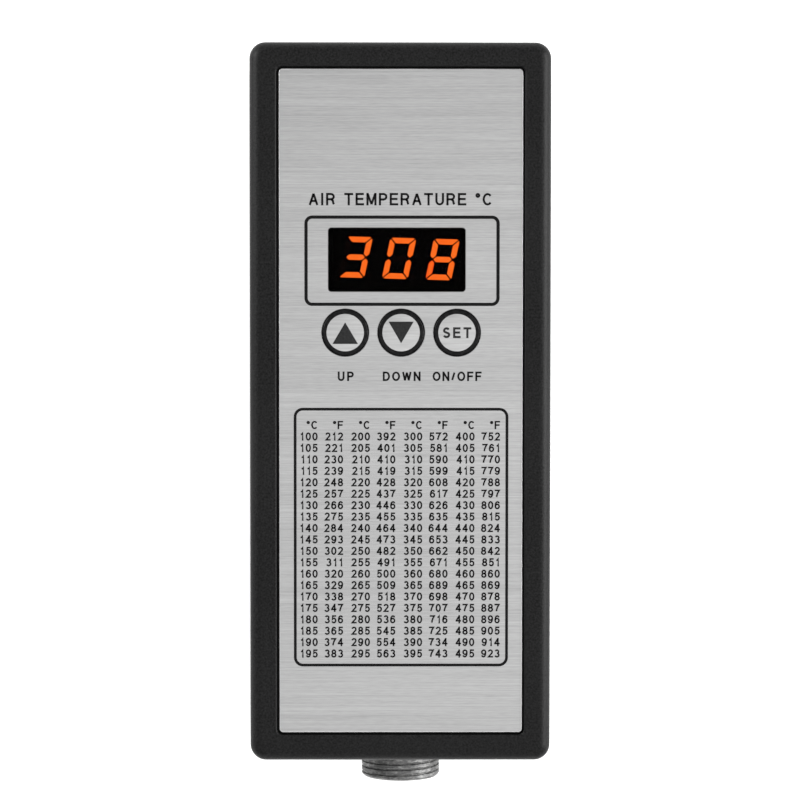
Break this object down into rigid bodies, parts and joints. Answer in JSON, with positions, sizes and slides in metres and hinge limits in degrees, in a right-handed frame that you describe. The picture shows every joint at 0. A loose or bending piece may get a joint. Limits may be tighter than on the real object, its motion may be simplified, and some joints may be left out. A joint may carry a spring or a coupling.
{
  "type": "hot air rework station",
  "caption": "Control box of a hot air rework station: black plastic case, brushed metal face plate, LED display, three round press keys, threaded handle socket and mains inlet.",
  "frame": {"origin": "under the middle of the whole object, on the plane that its rubber feet stand on", "axes": "+Z out of the control face, +Y along the case towards the mains inlet, +X to the right of someone who reads the face; the handle socket is at the -Y end"},
  "size_m": [0.067, 0.1668, 0.045],
  "materials": {
    "black_abs": "fine spark-eroded texture",
    "brushed_plate": "brushed across its width",
    "smoked_window": "polished dark filter",
    "key_face": "satin",
    "plated_metal": "dull nickel plate",
    "zinc_steel": "zinc plated",
    "black_rubber": "matte",
    "black_nylon": "moulded",
    "green_laminate": "solder resist",
    "ferrite": "sintered ferrite",
    "yellow_tape": "polyester tape",
    "anodised_aluminium": "extruded",
    "capacitor_sleeve": "shrunk sleeve",
    "white_nylon": "moulded",
    "blue_terminal": "moulded",
    "brown_pvc": "wire insulation",
    "blue_pvc": "wire insulation",
    "green_yellow_pvc": "wire insulation",
    "grey_pvc": "wire insulation",
    "fuse_glass": "clear"
  },
  "bodies": {
    "case": {"front_housing": "black_abs", "rear_cover": "black_abs", "face_plate": "brushed_plate", "display_window": "smoked_window", "switch_up": "black_nylon", "switch_down": "black_nylon", "switch_set": "black_nylon", "display_module": "black_nylon", "display_board": "green_laminate", "display_board_screw_1": "zinc_steel", "display_board_screw_2": "zinc_steel", "display_cable": "grey_pvc", "main_board": "green_laminate", "main_board_screw_1": "zinc_steel", "main_board_screw_2": "zinc_steel", "main_board_screw_3": "zinc_steel", "main_board_screw_4": "zinc_steel", "mains_terminal": "blue_terminal", "fuse_holder": "black_nylon", "mains_fuse": "fuse_glass", "suppression_capacitor": "yellow_tape", "common_mode_choke": "ferrite", "bridge_rectifier": "black_nylon", "bulk_capacitor": "capacitor_sleeve", "output_capacitor": "capacitor_sleeve", "switching_transformer": "yellow_tape", "microcontroller": "black_nylon", "handle_header": "white_nylon", "heat_sink": "anodised_aluminium", "triac": "zinc_steel", "triac_screw": "zinc_steel", "case_screw_1": "zinc_steel", "case_screw_2": "zinc_steel", "case_screw_3": "zinc_steel", "case_screw_4": "zinc_steel", "foot_1": "black_rubber", "foot_2": "black_rubber", "foot_3": "black_rubber", "foot_4": "black_rubber", "socket_shell": "plated_metal", "socket_insert": "black_nylon", "socket_washer": "zinc_steel", "socket_nut": "plated_metal", "inlet_body": "black_nylon", "inlet_pin_line": "plated_metal", "inlet_pin_neutral": "plated_metal", "inlet_pin_earth": "plated_metal", "inlet_screw_1": "zinc_steel", "inlet_screw_2": "zinc_steel", "line_lead": "brown_pvc", "neutral_lead": "blue_pvc", "earth_lead": "green_yellow_pvc", "handle_harness": "grey_pvc"},
    "up_key": {"key_up": "key_face", "plunger_up": "black_nylon"},
    "down_key": {"key_down": "key_face", "plunger_down": "black_nylon"},
    "set_key": {"key_set": "key_face", "plunger_set": "black_nylon"}
  },
  "joints": [
    {"name": "up_key_press", "type": "slide", "parent": "case", "child": "up_key", "axis": [0, 0, -1], "range_m": [0, 0.0003], "stiffness_N_per_m": 3000},
    {"name": "down_key_press", "type": "slide", "parent": "case", "child": "down_key", "axis": [0, 0, -1], "range_m": [0, 0.0003], "stiffness_N_per_m": 3000},
    {"name": "set_key_press", "type": "slide", "parent": "case", "child": "set_key", "axis": [0, 0, -1], "range_m": [0, 0.0003], "stiffness_N_per_m": 3000}
  ]
}
